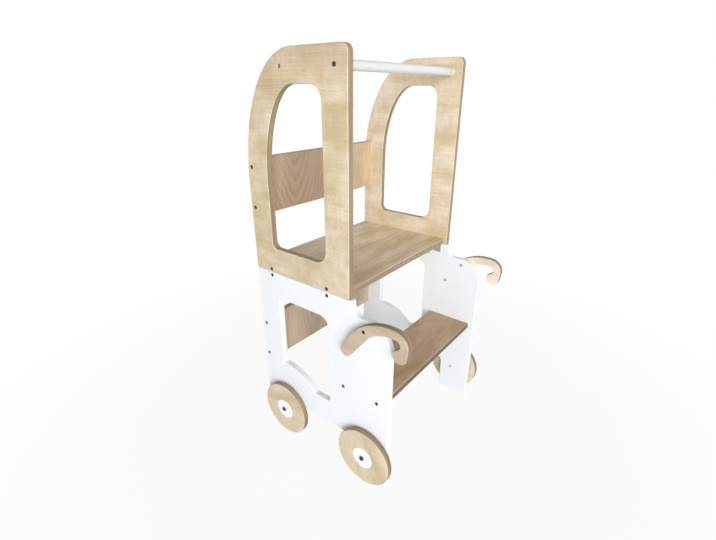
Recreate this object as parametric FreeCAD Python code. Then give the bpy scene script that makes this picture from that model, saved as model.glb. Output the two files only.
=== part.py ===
import FreeCAD, Part
import math
import os

# A toddler's kitchen tower whose upper half swings back to make a table and a seat.
# Millimetres, +Z up, the front faces -Y, the origin is under the middle of the whole object.
# Side shapes are drawn with d, the distance in front of the rear plane, and z, the height.

# Overall sizes
ply = 15.0                   # every plywood piece
width = 425.0                # over the outer faces of the side panels
lower_height = 450.0         # floor to the parting line
upper_height = 450.0         # the upper half alone, the same so that the table stands level
table_depth = 236.0          # table board, from which the depths of both halves follow
flip_gap = 0.4               # air between the two halves
arris = 2.0                  # rounded arrises of the plywood
panel_corner = 4.0           # small corners of the panel outlines

# Upper side panels
top_run = 131.0              # level top edge in front of the arch
arch_height = 246.0          # rise of the quarter ellipse at the rear top
upper_front_corner = 14.0
frame_width = 60.0           # wood left round the window
window_front_corner = 28.0   # both front corners
window_rear_corner = 15.0    # the lower rear one, below the arch

# Lower side panels
scoop_setback = 7.0          # start of the scoop in front of the upper panels
scoop_drop = 30.0            # from the parting line to the top of the hood
scoop_radius = 20.0
hood_length = 95.0           # start of the scoop to the front of the legs
hood_corner = 56.0
leg_width = 85.0
leg_corner = 9.0
arch_top = 104.0             # clear height between the legs
arch_corner = 22.0
port_rear = 66.0             # window of the lower panel
port_bottom = 166.5
port_drop = 61.5             # its top below the parting line
port_sill = 46.0             # its level lower edge in front of the fender
port_rear_corner = 10.0
port_front_corner = 23.0
port_low_corner = 10.0
port_fender_corner = 5.0
fender_radius = 130.0        # the window follows the rear wheel at this radius

# Boards and bar between the panels
platform_setback = 10.0      # platform behind the front edge of the upper panels
rail_height = 123.0
rail_setback = 5.0           # rail and backrest in front of the rear plane
upper_rail_drop = 201.4      # rail's top below the top of the tower
back_board_drop = 129.0      # backrest's top below the parting line
step_setback = 15.0          # step behind the front of the legs
step_gap = 26.5              # step in front of the lower window
step_top = 240.0
bar_diameter = 18.0
bar_inset = 29.0             # bar's axis behind the front edge of the upper panels
bar_drop = 31.0              # bar's axis below the top of the tower

# Flush screws that hold the boards
screw_head_diameter = 8.4
screw_shank_diameter = 6.2
screw_core_diameter = 4.8
screw_length = 45.0
screw_cone = 1.8
socket_flats = 4.0
socket_depth = 2.4
screw_clearance = 0.1
platform_screw_inset = 49.5  # from the rear and front edges of the platform
rail_screw_inset = 18.0      # from the top and bottom edges of a rail
step_screw_inset = 14.5
spare_hole_d = 116.0         # second place for the bar

# Sleeve nuts let into the lower panels, and the threads of the bolts that they take
sleeve_diameter = 8.4
sleeve_length = 14.0
sleeve_cap = 4.0             # closed end with the socket
thread_diameter = 6.0
thread_end_gap = 0.5

# Handles, drawn round the centre of their outer arc
handle_bolt_setback = 54.5   # bolt behind the front of the legs
handle_bolt_drop = 16.4      # bolt below the top of the hood
handle_fixing_inset = 10.9   # bolt and screw inside the outer arc
handle_bolt_angle = 124.3    # bolt's place round the outer arc
handle_screw_angle = 161.7   # the same for the screw from inside
handle_screw_length = 25.0
handle_outer_radius = 118.0
handle_outer_bend = 150.0    # where the outer arc runs out into the straight arm
handle_inner_radius = 81.0
handle_inner_bend = 142.0    # the same on the inner arc
handle_inner_shift_d = 5.0   # shift of the inner arc's centre, which makes the grip taper
handle_inner_shift_z = 18.1
handle_arm = 40.5            # straight part of the arm's outer edge, to its square end
handle_end_corner = 9.0
hook_angle = 83.5            # where the hook's bend leaves the outer arc
hook_radius = 31.0
hook_bore_angle = 83.5       # the same on the inner arc
hook_bore_radius = 9.5
tip_shift_d = 12.65          # tip's centre from the centre of the hook's bend
tip_shift_z = -20.45
tip_radius = 15.5
tip_slope = 34.0             # lie of the tip's inner edge
tip_corner = 4.0

# Wheels
wheel_radius = 70.0
wheel_height = 79.0          # axle above the floor, so that the legs carry the weight
rear_axle = 75.0
front_axle_inset = 53.0      # front axle behind the front of the legs
wheel_arris = 3.0
hub_diameter = 52.0
hub_thickness = 4.0
hub_proud = 1.0
hub_arris = 0.8
axle_diameter = 8.0
axle_head_diameter = 10.0
axle_head_height = 3.0
washer_diameter = 22.0
washer_thickness = 1.5
bush_wall = 2.0
run_clearance = 0.05         # radial clearance of what turns or slides
fit_clearance = 0.03         # radial clearance of what is pressed in or screwed on
side_play = 0.3              # air beside a wheel, along its axle

# Hinges on the rear edges of the platform and the table board
hinge_length = 70.0
hinge_inset = 37.5           # outer end of a hinge from the side panel
barrel_radius = 2.8
pin_radius = 1.5
leaf_thickness = 1.5
leaf_height = 12.5
leaf_corner = 2.0
barrel_air = 0.3             # barrel behind the rear plane, and round the other leaf
knuckles = 5
knuckle_gap = 0.4
hinge_screw_inset = 9.0      # outer screws from the ends of a leaf

# Slide bolt under the front of the platform, on the right
table_air = 4.0              # air between the table board and the bolt's plate
bolt_plate_length = 56.0
bolt_plate_width = 22.0
bolt_plate_thickness = 1.5
bolt_plate_gap = 9.5         # plate's end from the right panel
bolt_setback = 15.0          # bolt's axis behind the front edge of the platform
bolt_drop = 7.0              # bolt's axis below the platform
bolt_radius = 3.0
bolt_length = 73.0
bolt_nose = 0.8
bolt_travel = 12.0
bolt_rest_gap = 4.5          # nose from the right panel when the bolt is drawn back
guide_length = 8.0
guide_wall = 2.0
guide_inset = 2.0
knob_radius = 2.6
knob_reach = 9.0             # knob's end from the bolt's axis
knob_place = 43.0            # knob from the bolt's nose
bolt_screw_inset_x = 14.0
bolt_screw_inset_d = 3.2
strike_width = 20.0
strike_height = 22.0
strike_thickness = 1.2
strike_above = 4.8           # plate's top above the bolt's axis
strike_clearance = 0.4
strike_beyond = 2.0          # room beyond the nose of a shot bolt
strike_screw_inset = 4.0     # from the sides and the bottom of the plate

# Small wood screws of the fittings
small_head_diameter = 5.0
small_shank_diameter = 2.6
small_screw_length = 12.0
small_screw_cone = 1.2

# Places that follow from the sizes above
half = width / 2
inner = half - ply
parting = lower_height + flip_gap
top = parting + upper_height
hood_top = lower_height - scoop_drop
bolt_d = table_depth + table_air + bolt_plate_width / 2
bolt_z = parting - bolt_drop
platform_depth = bolt_d + bolt_setback
upper_depth = platform_depth + platform_setback
scoop_start = upper_depth + scoop_setback
lower_depth = scoop_start + hood_length
bar_d = upper_depth - bar_inset
bar_z = top - bar_drop
rail_d = rail_setback + ply / 2
upper_rail_bottom = top - upper_rail_drop - rail_height
back_board_bottom = lower_height - back_board_drop - rail_height
front_axle = lower_depth - front_axle_inset
fender_run = math.sqrt(fender_radius ** 2 - (port_bottom - wheel_height) ** 2)
port_front = rear_axle + fender_run + port_sill
step_rear = port_front + step_gap
step_depth = lower_depth - step_setback - step_rear
thread_length = ply - sleeve_cap - thread_end_gap
hinge_middle = inner - hinge_inset - hinge_length / 2
pivot_d = -(barrel_radius + barrel_air)
pivot_z = lower_height + flip_gap / 2
fixing_run = handle_outer_radius - handle_fixing_inset
handle_centre_d = lower_depth - handle_bolt_setback - fixing_run * math.cos(math.radians(handle_bolt_angle))
handle_centre_z = hood_top - handle_bolt_drop - fixing_run * math.sin(math.radians(handle_bolt_angle))
hook_run = handle_outer_radius - hook_radius
hook_d = handle_centre_d + hook_run * math.cos(math.radians(hook_angle))
hook_z = handle_centre_z + hook_run * math.sin(math.radians(hook_angle))
front_reach = max(hook_d + hook_radius, front_axle + wheel_radius, lower_depth)
back_reach = barrel_radius - pivot_d
rear_y = (front_reach - back_reach) / 2

left_and_right = {"left": -1, "right": 1}
front_and_rear = {"front": front_axle, "rear": rear_axle}
along_x = FreeCAD.Vector(1, 0, 0)
upward = FreeCAD.Vector(0, 0, 1)
forward = FreeCAD.Vector(0, -1, 0)
touch = 0.01                 # how near an edge lies to what it is picked by

blanks = {}
holes = {}


def vec(x, d, z):
    """A point by its offset from the middle, distance in front of the rear plane and height."""
    return FreeCAD.Vector(x, rear_y - d, z)


def keep(name, *solids):
    """File a piece, or a group of like pieces, under its name."""
    blanks[name] = solids[0] if len(solids) == 1 else Part.Compound(list(solids))


def bore(name, tool):
    """Note a hole to be cut in the named piece once all its fixings are known."""
    holes.setdefault(name, []).append(tool)


def corner_edge(before, here, after, radius):
    """Start, end and edge of a rounded outline corner; a pair of radii (d, z) is a quarter ellipse."""
    back = (before - here).normalize()
    onward = (after - here).normalize()
    if isinstance(radius, tuple):
        reach_d, reach_z = radius
        start = here + back * (reach_z if abs(back.z) > abs(back.y) else reach_d)
        end = here + onward * (reach_z if abs(onward.z) > abs(onward.y) else reach_d)
        centre = start + end - here
        far, near = sorted((start, end), key=centre.distanceToPoint, reverse=True)
        quarter = Part.ArcOfEllipse(Part.Ellipse(far, near, centre), 0, math.pi / 2)
        return start, end, quarter.toShape()
    turn = back.getAngle(onward) / 2
    start = here + back * (radius / math.tan(turn))
    end = here + onward * (radius / math.tan(turn))
    middle = here + (back + onward).normalize() * (radius / math.sin(turn) - radius)
    return start, end, Part.Arc(start, middle, end).toShape()


def outline(corners):
    """Closed wire in the middle plane through corners given as (d, z, radius)."""
    points = [vec(0, d, z) for d, z, radius in corners]
    following = points[1:] + points[:1]
    bends = []
    for i, (d, z, radius) in enumerate(corners):
        bends.append(corner_edge(points[i - 1], points[i], following[i], radius))
    edges = []
    for (start, end, edge), (next_start, next_end, next_edge) in zip(bends, bends[1:] + bends[:1]):
        edges += [edge, Part.makeLine(end, next_start)]
    return Part.Wire(edges)


def polar(centre, radius, degrees):
    """Point round a centre in the side view; 0 is forward and 90 is up."""
    angle = math.radians(degrees)
    return centre + FreeCAD.Vector(0, -radius * math.cos(angle), radius * math.sin(angle))


def arc(centre, radius, first, last):
    """Arc in the side view between two angles."""
    return Part.Arc(*[polar(centre, radius, a) for a in (first, (first + last) / 2, last)]).toShape()


def sheet(wire, side):
    """Plywood of the given outline, lying outside the plane X = 0 on one side."""
    return Part.Face(wire).extrude(along_x * (side * ply))


def eased(solid, radius=arris):
    """Round the arrises round the two flat faces of a sheet piece or a disc."""
    box = solid.BoundBox
    rims = []
    for edge in solid.Edges:
        offset = abs(edge.CenterOfMass.x - box.Center.x)
        if abs(offset - box.XLength / 2) < touch:
            rims.append(edge)
    return solid.makeFillet(radius, rims)


def board(d, depth, z, height):
    """Board between the side panels, with its four long arrises rounded."""
    solid = Part.makeBox(2 * inner, depth, height, vec(-inner, d + depth, z))
    rims = [e for e in solid.Edges if abs(e.CenterOfMass.x) < touch]
    return solid.makeFillet(arris, rims)


def rod(x0, x1, d, z, radius):
    """Cylinder along X."""
    return Part.makeCylinder(radius, abs(x1 - x0), vec(x0, d, z), along_x * (x1 - x0))


def ring(x0, x1, d, z, radius, bore_radius):
    """Cylinder along X with a hole through it."""
    return rod(x0, x1, d, z, radius).cut(rod(x0, x1, d, z, bore_radius))


def stood(solid, point, direction):
    """A solid made along Z from the origin, stood at a point along a direction."""
    solid.Placement = FreeCAD.Placement(point, FreeCAD.Rotation(upward, direction))
    return solid


def turned(steps, point, direction):
    """Solid turned about an axis through (distance, radius) steps."""
    profile = [(steps[0][0], 0)] + steps + [(steps[-1][0], 0)]
    points = [FreeCAD.Vector(radius, 0, distance) for distance, radius in profile]
    face = Part.Face(Part.makePolygon(points + points[:1]))
    return stood(face.revolve(FreeCAD.Vector(), upward, 360), point, direction)


def hexagon(flats, depth, point, direction):
    """Six-sided prism, as for a socket or a nut."""
    reach = flats / math.sqrt(3)
    ring_angles = [math.radians(60 * i) for i in range(7)]
    points = [FreeCAD.Vector(reach * math.cos(a), reach * math.sin(a), 0) for a in ring_angles]
    return stood(Part.Face(Part.makePolygon(points)).extrude(upward * depth), point, direction)


def flush_screw(point, direction, length, grow=0.0):
    """Screw with its head flush at point; grow gives the hole that it sits in."""
    head = screw_head_diameter / 2 + grow
    shank = screw_shank_diameter / 2 + grow
    core = screw_core_diameter / 2 + grow
    steps = [(0, head), (screw_cone, shank), (ply, shank), (ply, core), (length + grow, core)]
    solid = turned(steps, point, direction)
    if grow:
        return solid
    return solid.cut(hexagon(socket_flats, socket_depth, point, direction))


def through_bolt(point, direction, grow=0.0):
    """Countersunk bolt of a handle with its head flush at point, or the hole for it."""
    head = screw_head_diameter / 2 + grow
    thread = thread_diameter / 2 + grow
    solid = turned([(0, head), (screw_cone, thread), (ply + thread_length + grow, thread)], point, direction)
    if grow:
        return solid
    return solid.cut(hexagon(socket_flats, socket_depth, point, direction))


def sleeve_nut(panel, point, outward):
    """Nut let into the inside of a panel, flush at point; the panel gets the holes for it and its bolt."""
    sleeve = sleeve_diameter / 2
    thread = thread_diameter / 2
    bore(panel, stood(Part.makeCylinder(sleeve + screw_clearance, sleeve_length), point, outward))
    bore(panel, stood(Part.makeCylinder(thread + screw_clearance, ply), point, outward))
    cap_end = point + outward * sleeve_cap
    nut = stood(Part.makeCylinder(sleeve, sleeve_length), point, outward)
    nut = nut.cut(stood(Part.makeCylinder(thread + fit_clearance, sleeve_length), cap_end, outward))
    return nut.cut(hexagon(socket_flats, socket_depth, point, outward))


def small_screw(point, direction, grow=0.0):
    """Countersunk wood screw of a metal fitting, or the hole for it."""
    head = small_head_diameter / 2 + grow
    shank = small_shank_diameter / 2 + grow
    tail = small_screw_length + grow
    return turned([(0, head), (small_screw_cone, shank), (tail, shank)], point, direction)


def screw_through_sides(name, panels, held, places):
    """Flush screws through both side panels into the ends of the held piece."""
    screws = []
    for word, side in left_and_right.items():
        for d, z in places:
            point = vec(side * half, d, z)
            screws.append(flush_screw(point, along_x * -side, screw_length))
            hole = flush_screw(point, along_x * -side, screw_length, screw_clearance)
            bore(panels + word, hole)
            bore(held, hole)
    keep(name, *screws)


def upper_outline(inset, rear_corner, top_corner, front_corner):
    """Outline of the upper panel moved in by inset, for the panel and for its window."""
    arch = (upper_depth - top_run - inset, arch_height - inset)
    return outline([
        (inset, parting + inset, rear_corner),
        (inset, top - inset, arch),
        (upper_depth - inset, top - inset, top_corner),
        (upper_depth - inset, parting + inset, front_corner),
    ])


def lower_outline():
    """Outline of the lower panel: two legs, the arch between them, the scoop and the hood."""
    front_leg = lower_depth - leg_width
    return outline([
        (0, 0, leg_corner),
        (0, lower_height, panel_corner),
        (scoop_start, lower_height, panel_corner),
        (scoop_start, hood_top, scoop_radius),
        (lower_depth, hood_top, hood_corner),
        (lower_depth, 0, leg_corner),
        (front_leg, 0, leg_corner),
        (front_leg, arch_top, arch_corner),
        (leg_width, arch_top, arch_corner),
        (leg_width, 0, leg_corner),
    ])


def port(side):
    """Block that cuts the lower panel's window, less the fender over the rear wheel."""
    port_top = lower_height - port_drop
    block = sheet(outline([
        (port_rear, port_bottom, port_low_corner),
        (port_rear, port_top, port_rear_corner),
        (port_front, port_top, port_front_corner),
        (port_front, port_bottom, port_low_corner),
    ]), side)
    block = block.cut(rod(-ply, ply, rear_axle, wheel_height, fender_radius))
    axle = vec(side * ply / 2, rear_axle, wheel_height)
    ends = []
    for edge in block.Edges:
        distance = edge.CenterOfMass.distanceToPoint(axle)
        if abs(distance - fender_radius) < touch:
            ends.append(edge)
    return block.makeFillet(port_fender_corner, ends)


def handle_outline():
    """Outline of a handle: the straight rear arm, the bow, the hook and its blunt tip."""
    centre = vec(0, handle_centre_d, handle_centre_z)
    shifted = vec(0, handle_centre_d + handle_inner_shift_d, handle_centre_z + handle_inner_shift_z)
    hook = vec(0, hook_d, hook_z)
    tip = vec(0, hook_d + tip_shift_d, hook_z + tip_shift_z)
    hollow = polar(shifted, handle_inner_radius - hook_bore_radius, hook_bore_angle)
    lean = math.degrees(math.atan2(tip.z - hook.z, hook.y - tip.y))
    flank = lean + math.degrees(math.acos((hook_radius - tip_radius) / tip.distanceToPoint(hook)))
    leave = polar(hollow, hook_bore_radius, tip_slope - 90)
    tip_back = polar(tip, tip_radius, 180)
    rise = (tip_back.y - leave.y) * math.tan(math.radians(tip_slope))
    heel = FreeCAD.Vector(0, tip_back.y, leave.z - rise)
    start, end, crook = corner_edge(leave, heel, tip_back, tip_corner)
    outer_bend = polar(centre, handle_outer_radius, handle_outer_bend)
    inner_bend = polar(shifted, handle_inner_radius, handle_inner_bend)
    slope = polar(FreeCAD.Vector(), 1, handle_inner_bend + 90)
    outer_end = polar(outer_bend, handle_arm, handle_outer_bend + 90)
    inner_end = inner_bend + slope * (outer_end - inner_bend).dot(slope)
    low_start, low_end, low_corner = corner_edge(inner_bend, inner_end, outer_end, handle_end_corner)
    rear_start, rear_end, rear_corner = corner_edge(inner_end, outer_end, outer_bend, handle_end_corner)
    return Part.Wire([
        arc(centre, handle_outer_radius, handle_outer_bend, hook_angle),
        arc(hook, hook_radius, hook_angle, flank),
        Part.makeLine(polar(hook, hook_radius, flank), polar(tip, tip_radius, flank)),
        arc(tip, tip_radius, flank, -180),
        Part.makeLine(tip_back, end),
        crook,
        Part.makeLine(start, leave),
        arc(hollow, hook_bore_radius, tip_slope - 90, hook_bore_angle),
        arc(shifted, handle_inner_radius, hook_bore_angle, handle_inner_bend),
        Part.makeLine(inner_bend, low_start),
        low_corner,
        Part.makeLine(low_end, rear_start),
        rear_corner,
        Part.makeLine(rear_end, outer_bend),
    ])


def side_panels():
    """Upper and lower side panels, and the hole for moving the bar."""
    for word, side in left_and_right.items():
        out = along_x * (side * inner)
        frame = sheet(upper_outline(0, panel_corner, upper_front_corner, panel_corner), side)
        window_corners = (window_rear_corner, window_front_corner, window_front_corner)
        window = sheet(upper_outline(frame_width, *window_corners), side)
        keep("upper_side_" + word, eased(frame.cut(window)).translated(out))
        keep("lower_side_" + word, eased(sheet(lower_outline(), side).cut(port(side))).translated(out))
        spare = vec(side * half, spare_hole_d, bar_z)
        bore("upper_side_" + word, flush_screw(spare, along_x * -side, screw_length, screw_clearance))


def boards_and_bar():
    """Boards, rails and bar between the panels, with the screws that hold them."""
    screw_ds = (platform_screw_inset, platform_depth - platform_screw_inset)
    rail_zs = (rail_screw_inset, rail_height - rail_screw_inset)
    keep("standing_platform", board(0, platform_depth, parting, ply))
    screw_through_sides("platform_screws", "upper_side_", "standing_platform",
                        [(d, parting + ply / 2) for d in screw_ds])
    keep("upper_back_rail", board(rail_setback, ply, upper_rail_bottom, rail_height))
    screw_through_sides("upper_rail_screws", "upper_side_", "upper_back_rail",
                        [(rail_d, upper_rail_bottom + z) for z in rail_zs])
    keep("front_bar", rod(-inner, inner, bar_d, bar_z, bar_diameter / 2))
    screw_through_sides("bar_screws", "upper_side_", "front_bar", [(bar_d, bar_z)])
    keep("table_board", board(0, table_depth, lower_height - ply, ply))
    screw_through_sides("table_board_screws", "lower_side_", "table_board",
                        [(d, lower_height - ply / 2) for d in screw_ds])
    keep("lower_back_board", board(rail_setback, ply, back_board_bottom, rail_height))
    screw_through_sides("back_board_screws", "lower_side_", "lower_back_board",
                        [(rail_d, back_board_bottom + z) for z in rail_zs])
    keep("step_board", board(step_rear, step_depth, step_top - ply, ply))
    step_ds = (step_rear + step_screw_inset, step_rear + step_depth - step_screw_inset)
    screw_through_sides("step_screws", "lower_side_", "step_board",
                        [(d, step_top - ply / 2) for d in step_ds])


def handles():
    """Cane-shaped handles outside the lower panels, each held by a bolt and by a screw from inside."""
    centre = vec(0, handle_centre_d, handle_centre_z)
    bolts = []
    nuts = []
    screws = []
    for word, side in left_and_right.items():
        handle = "handle_" + word
        panel = "lower_side_" + word
        outward = along_x * side
        keep(handle, eased(sheet(handle_outline(), side)).translated(outward * half))
        bolt_place = polar(centre, fixing_run, handle_bolt_angle)
        head = bolt_place + outward * (half + ply)
        bolts.append(through_bolt(head, outward * -1))
        bore(handle, through_bolt(head, outward * -1, screw_clearance))
        nuts.append(sleeve_nut(panel, bolt_place + outward * inner, outward))
        head = polar(centre, fixing_run, handle_screw_angle) + outward * inner
        screws.append(flush_screw(head, outward, handle_screw_length))
        hole = flush_screw(head, outward, handle_screw_length, screw_clearance)
        bore(panel, hole)
        bore(handle, hole)
    keep("handle_bolts", *bolts)
    keep("handle_nuts", *nuts)
    keep("handle_screws", *screws)


def wheels():
    """Four wheels with hub discs and bushes, and the axle bolts, washers and nuts that carry them."""
    axle = axle_diameter / 2
    head = axle_head_diameter / 2
    thread = thread_diameter / 2
    bush = axle + run_clearance + bush_wall
    wheel_in = half + washer_thickness + side_play
    wheel_out = wheel_in + ply
    hub_out = wheel_out + hub_proud
    hub_in = hub_out - hub_thickness
    head_out = hub_out + side_play + axle_head_height
    shoulder = head_out - half
    bolt_steps = [
        (0, head), (axle_head_height, head),
        (axle_head_height, axle), (shoulder, axle),
        (shoulder, thread), (shoulder + thread_length, thread),
    ]
    bolts = []
    washers = []
    nuts = []
    for end, d in front_and_rear.items():
        for word, side in left_and_right.items():
            tag = end + "_" + word
            z = wheel_height
            outward = along_x * side
            wheel = eased(rod(side * wheel_in, side * wheel_out, d, z, wheel_radius), wheel_arris)
            recess = rod(side * hub_in, side * hub_out, d, z, hub_diameter / 2 + fit_clearance)
            bush_hole = rod(side * wheel_in, side * hub_out, d, z, bush + fit_clearance)
            keep("wheel_" + tag, wheel.cut(recess).cut(bush_hole))
            hub = eased(rod(side * hub_in, side * hub_out, d, z, hub_diameter / 2), hub_arris)
            keep("hub_disc_" + tag, hub.cut(bush_hole))
            keep("wheel_bush_" + tag, ring(side * wheel_in, side * hub_out, d, z, bush, axle + run_clearance))
            point = vec(side * head_out, d, z)
            bolt = turned(bolt_steps, point, outward * -1)
            bolts.append(bolt.cut(hexagon(socket_flats, socket_depth, point, outward * -1)))
            washers.append(ring(side * half, side * (half + washer_thickness), d, z,
                                washer_diameter / 2, axle + screw_clearance))
            nuts.append(sleeve_nut("lower_side_" + word, vec(side * inner, d, z), outward))
    keep("axle_bolts", *bolts)
    keep("axle_washers", *washers)
    keep("axle_nuts", *nuts)


def hinge_leaf(middle, up, own, other):
    """Leaf with its knuckles; up is 1 for the upper leaf and -1 for the lower one."""
    edge = pivot_z + up * leaf_height
    low, high = sorted((pivot_z, edge))
    x0 = middle - hinge_length / 2
    leaf = Part.makeBox(hinge_length, leaf_thickness, high - low, vec(x0, 0, low))
    corners = []
    for rim in leaf.Edges:
        offset = abs(rim.CenterOfMass.x - middle)
        if abs(rim.CenterOfMass.z - edge) < touch and abs(offset - hinge_length / 2) < touch:
            corners.append(rim)
    leaf = leaf.makeFillet(leaf_corner, corners)
    notch = barrel_radius + barrel_air
    for start, end in other:
        gap = Part.makeBox(end - start + 2 * knuckle_gap, leaf_thickness, 2 * notch,
                           vec(start - knuckle_gap, 0, pivot_z - notch))
        leaf = leaf.cut(gap)
    barrels = [rod(start, end, pivot_d, pivot_z, barrel_radius) for start, end in own]
    return leaf.fuse(barrels).removeSplitter()


def hinges():
    """Two butt hinges at the rear of the parting line, open flat while the tower stands."""
    step = (hinge_length + knuckle_gap) / knuckles
    screws = {"upper": [], "lower": []}
    for word, side in left_and_right.items():
        middle = side * hinge_middle
        x0 = middle - hinge_length / 2
        spans = [(x0 + i * step, x0 + (i + 1) * step - knuckle_gap) for i in range(knuckles)]
        leaves = {"upper": (1, spans[1::2], spans[0::2], run_clearance, "standing_platform"),
                  "lower": (-1, spans[0::2], spans[1::2], fit_clearance, "table_board")}
        for level, (up, own, other, clearance, carrier) in leaves.items():
            name = "hinge_leaf_" + level + "_" + word
            leaf = hinge_leaf(middle, up, own, other)
            keep(name, leaf.cut(rod(x0, x0 + hinge_length, pivot_d, pivot_z, pin_radius + clearance)))
            screw_z = pivot_z + up * (barrel_radius + leaf_height) / 2
            for offset in (hinge_screw_inset, hinge_length / 2, hinge_length - hinge_screw_inset):
                point = vec(x0 + offset, -leaf_thickness, screw_z)
                screws[level].append(small_screw(point, forward))
                bore(name, small_screw(point, forward, screw_clearance))
                bore(carrier, small_screw(point, forward, screw_clearance))
        keep("hinge_pin_" + word, rod(x0, x0 + hinge_length, pivot_d, pivot_z, pin_radius))
    keep("hinge_screws_upper", *screws["upper"])
    keep("hinge_screws_lower", *screws["lower"])


def slide_bolt():
    """Slide bolt under the platform that shoots into the right lower panel."""
    plate_end = inner - bolt_plate_gap
    plate_start = plate_end - bolt_plate_length
    plate_z = parting - bolt_plate_thickness
    half_plate = bolt_plate_width / 2
    plate = Part.makeBox(bolt_plate_length, bolt_plate_width, bolt_plate_thickness,
                         vec(plate_start, bolt_d + half_plate, plate_z))
    plate = plate.makeFillet(leaf_corner, [e for e in plate.Edges if e.Length < 2 * bolt_plate_thickness])
    slot = bolt_radius + run_clearance
    wall = slot + guide_wall
    guides = []
    for x0 in (plate_start + guide_inset, plate_end - guide_inset - guide_length):
        guides.append(rod(x0, x0 + guide_length, bolt_d, bolt_z, wall))
        guides.append(Part.makeBox(guide_length, 2 * wall, plate_z - bolt_z, vec(x0, bolt_d + wall, bolt_z)))
    body = plate.fuse(guides).removeSplitter()
    keep("bolt_body", body.cut(rod(plate_start, plate_end, bolt_d, bolt_z, slot)))
    screws = []
    for x in (plate_start + bolt_screw_inset_x, plate_end - bolt_screw_inset_x):
        for d in (bolt_d - half_plate + bolt_screw_inset_d, bolt_d + half_plate - bolt_screw_inset_d):
            screws.append(small_screw(vec(x, d, plate_z), upward))
            bore("bolt_body", small_screw(vec(x, d, plate_z), upward, screw_clearance))
            bore("standing_platform", small_screw(vec(x, d, plate_z), upward, screw_clearance))
    keep("bolt_body_screws", *screws)
    nose = inner - bolt_rest_gap
    bar_steps = [(0, bolt_radius - bolt_nose), (bolt_nose, bolt_radius), (bolt_length, bolt_radius)]
    bar = turned(bar_steps, vec(nose, bolt_d, bolt_z), along_x * -1)
    knob_steps = [(0, knob_radius), (knob_reach - bolt_nose, knob_radius),
                  (knob_reach, knob_radius - bolt_nose)]
    stem = turned(knob_steps, vec(nose - knob_place, bolt_d, bolt_z), upward * -1)
    keep("bolt_rod", bar.fuse(stem).removeSplitter())


def strike():
    """Plate and hole in the right lower panel for the slide bolt."""
    low = bolt_z + strike_above - strike_height
    face = inner - strike_thickness
    plate = Part.makeBox(strike_thickness, strike_width, strike_height,
                         vec(face, bolt_d + strike_width / 2, low))
    plate = plate.makeFillet(leaf_corner, [e for e in plate.Edges if e.Length < 2 * strike_thickness])
    end = inner - bolt_rest_gap + bolt_travel + strike_beyond
    hole = rod(face, end, bolt_d, bolt_z, bolt_radius + strike_clearance)
    keep("strike_plate", plate.cut(hole))
    bore("lower_side_right", hole)
    screws = []
    for d in (bolt_d - strike_width / 2 + strike_screw_inset, bolt_d + strike_width / 2 - strike_screw_inset):
        point = vec(face, d, low + strike_screw_inset)
        screws.append(small_screw(point, along_x))
        bore("strike_plate", small_screw(point, along_x, screw_clearance))
        bore("lower_side_right", small_screw(point, along_x, screw_clearance))
    keep("strike_screws", *screws)


side_panels()
boards_and_bar()
handles()
wheels()
hinges()
slide_bolt()
strike()

os.makedirs("parts", exist_ok=True)
for name, piece in blanks.items():
    if name in holes:
        piece = piece.cut(Part.Compound(holes[name]))
    piece.exportStep("parts/" + name + ".step")
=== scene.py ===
"""Finishes for a toddler's kitchen tower of birch plywood and white paint, and its studio."""

import math
from typing import NamedTuple

import bmesh
import bpy
from mathutils import Matrix, Vector


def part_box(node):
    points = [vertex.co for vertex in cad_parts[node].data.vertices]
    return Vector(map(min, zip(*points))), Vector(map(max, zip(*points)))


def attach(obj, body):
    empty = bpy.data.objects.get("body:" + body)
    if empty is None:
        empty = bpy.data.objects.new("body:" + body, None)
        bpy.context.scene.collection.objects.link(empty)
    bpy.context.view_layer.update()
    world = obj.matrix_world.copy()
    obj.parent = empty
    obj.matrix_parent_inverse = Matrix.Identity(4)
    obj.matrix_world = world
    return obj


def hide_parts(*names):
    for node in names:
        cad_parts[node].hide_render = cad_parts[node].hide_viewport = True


bl_info = {
    "name": "Toddler kitchen tower",
    "version": (1, 0, 0),
    "blender": (4, 5, 0),
    "location": "3D View > Sidebar > Tower",
    "description": "Plywood, paint and metal finishes for a kitchen tower, with its studio",
    "category": "Object",
}

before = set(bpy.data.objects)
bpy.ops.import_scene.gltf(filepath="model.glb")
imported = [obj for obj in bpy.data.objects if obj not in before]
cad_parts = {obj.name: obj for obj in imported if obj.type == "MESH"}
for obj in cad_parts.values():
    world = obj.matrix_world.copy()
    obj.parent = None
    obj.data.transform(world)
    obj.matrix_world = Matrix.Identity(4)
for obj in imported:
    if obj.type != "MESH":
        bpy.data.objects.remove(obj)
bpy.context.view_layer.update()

AXES = "XYZ"
SIDES = ("left", "right")
WHITE = (1.0, 1.0, 1.0, 1.0)
NOISE_MEAN = 0.5


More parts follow.
